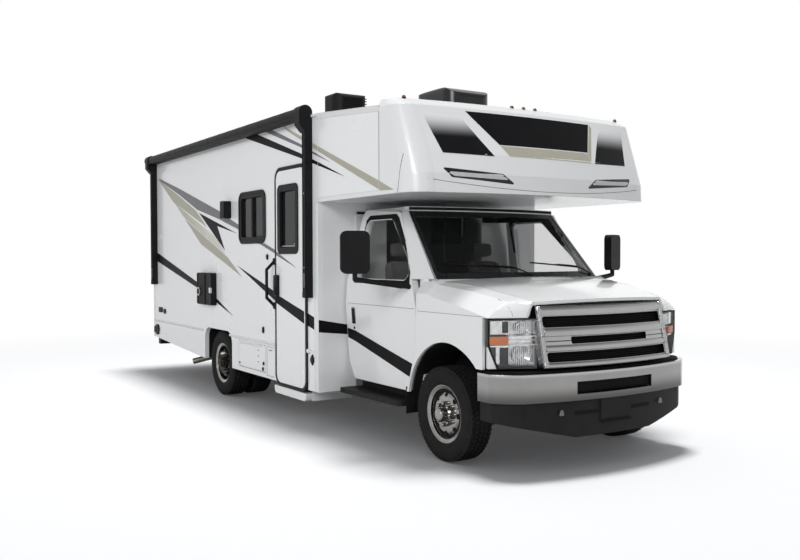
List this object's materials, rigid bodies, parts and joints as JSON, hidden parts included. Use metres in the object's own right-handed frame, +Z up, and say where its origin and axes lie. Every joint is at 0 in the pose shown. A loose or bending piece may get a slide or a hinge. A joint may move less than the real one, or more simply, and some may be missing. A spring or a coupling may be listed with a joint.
{
  "type": "class C cab-over motorhome on a van cutaway chassis",
  "caption": "White cab-over motorhome with an awning, black side graphics, a chrome grille and bumper, polished wheels and an entry door on the passenger side.",
  "frame": {"origin": "on the ground under the middle of the bounding box", "axes": "+X is forward, +Y the driver's left side, +Z up"},
  "size_m": [7.42, 3.1, 3.1274],
  "materials": {
    "white_panel": "gloss",
    "white_moulding": "gloss",
    "black_plastic": "satin",
    "black_gloss": "gloss",
    "chrome": "polished",
    "polished_wheel": "polished",
    "tyre": "matte",
    "frame_steel": "satin",
    "cast_iron": "matte",
    "exhaust_steel": "satin",
    "tinted_glass": "gloss",
    "clear_glass": "gloss",
    "headlamp": "gloss",
    "red_lens": "gloss",
    "amber_lens": "gloss",
    "seat_fabric": "matte",
    "dash_plastic": "matte",
    "floor_board": "matte",
    "roof_skin": "satin"
  },
  "bodies": {
    "chassis": {"chassis_frame": "frame_steel", "engine_block": "cast_iron", "driveline": "cast_iron", "fuel_tank": "frame_steel", "exhaust": "exhaust_steel", "front_axle": "frame_steel", "rear_axle": "frame_steel", "leaf_springs": "frame_steel", "cab_shell": "white_panel", "front_fenders": "white_panel", "grille": "chrome", "headlamps": "headlamp", "radiator_support": "frame_steel", "front_bumper": "chrome", "front_valance": "black_plastic", "windshield": "clear_glass", "running_boards": "black_plastic", "dashboard": "dash_plastic", "steering_wheel": "dash_plastic", "seat_pedestals": "frame_steel", "cab_seats": "seat_fabric", "house_wall_right": "white_panel", "house_wall_left": "white_panel", "house_wall_rear": "white_panel", "house_floor": "floor_board", "house_roof": "roof_skin", "house_bulkhead": "white_panel", "front_cap": "white_moulding", "marker_lamps": "amber_lens", "house_glass": "tinted_glass", "window_frames": "black_plastic", "entry_frame": "black_plastic", "step_well": "white_moulding", "awning": "black_plastic", "side_fittings": "black_plastic", "assist_handle": "black_plastic", "rear_bumper": "black_plastic", "tail_lamps": "red_lens", "air_conditioner": "black_gloss", "roof_vent": "black_plastic"},
    "knuckle_left": {"knuckle_left": "cast_iron"},
    "knuckle_right": {"knuckle_right": "cast_iron"},
    "wheel_front_left": {"rim_front_left": "polished_wheel", "tyre_front_left": "tyre"},
    "wheel_front_right": {"rim_front_right": "polished_wheel", "tyre_front_right": "tyre"},
    "wheels_rear_left": {"rims_rear_left": "polished_wheel", "tyres_rear_left": "tyre"},
    "wheels_rear_right": {"rims_rear_right": "polished_wheel", "tyres_rear_right": "tyre"},
    "hood": {"hood": "white_panel"},
    "cab_door_left": {"cab_door_left": "white_panel", "door_glass_left": "tinted_glass", "mirror_left": "black_plastic"},
    "cab_door_right": {"cab_door_right": "white_panel", "door_glass_right": "tinted_glass", "mirror_right": "black_plastic"},
    "entry_door": {"entry_door": "white_panel", "entry_door_glass": "tinted_glass"},
    "baggage_door": {"baggage_door": "white_panel"}
  },
  "joints": [
    {"name": "steer_left", "type": "hinge", "parent": "chassis", "child": "knuckle_left", "pos_m": [2.84, 0.8, 0.368], "axis": [0, 0, 1], "range_deg": [-30, 30]},
    {"name": "roll_front_left", "type": "hinge", "parent": "knuckle_left", "child": "wheel_front_left", "pos_m": [2.84, 0.878, 0.368], "axis": [0, 1, 0], "continuous": true},
    {"name": "roll_rear_left", "type": "hinge", "parent": "chassis", "child": "wheels_rear_left", "pos_m": [-1.173, 0.991, 0.368], "axis": [0, 1, 0], "continuous": true},
    {"name": "cab_door_left_hinge", "type": "hinge", "parent": "chassis", "child": "cab_door_left", "pos_m": [2.4991, 0.9991, 1.155], "axis": [0, 0, -1], "range_deg": [0, 62]},
    {"name": "steer_right", "type": "hinge", "parent": "chassis", "child": "knuckle_right", "pos_m": [2.84, -0.8, 0.368], "axis": [0, 0, 1], "range_deg": [-30, 30]},
    {"name": "roll_front_right", "type": "hinge", "parent": "knuckle_right", "child": "wheel_front_right", "pos_m": [2.84, -0.878, 0.368], "axis": [0, 1, 0], "continuous": true},
    {"name": "roll_rear_right", "type": "hinge", "parent": "chassis", "child": "wheels_rear_right", "pos_m": [-1.173, -0.991, 0.368], "axis": [0, 1, 0], "continuous": true},
    {"name": "cab_door_right_hinge", "type": "hinge", "parent": "chassis", "child": "cab_door_right", "pos_m": [2.4991, -0.9991, 1.155], "axis": [0, 0, 1], "range_deg": [0, 62]},
    {"name": "hood_hinge", "type": "hinge", "parent": "chassis", "child": "hood", "pos_m": [2.682, 0, 1.36], "axis": [0, -1, 0], "range_deg": [0, 45]},
    {"name": "entry_door_hinge", "type": "hinge", "parent": "chassis", "child": "entry_door", "pos_m": [1.07, -1.282, 1.38], "axis": [0, 0, 1], "range_deg": [0, 88]},
    {"name": "baggage_door_hinge", "type": "hinge", "parent": "chassis", "child": "baggage_door", "pos_m": [-0.221, -1.268, 0.676], "axis": [-1, 0, 0], "range_deg": [0, 95]}
  ],
  "couplings": [
    {"joint": "steer_right", "follows": "steer_left", "ratio": 1}
  ]
}
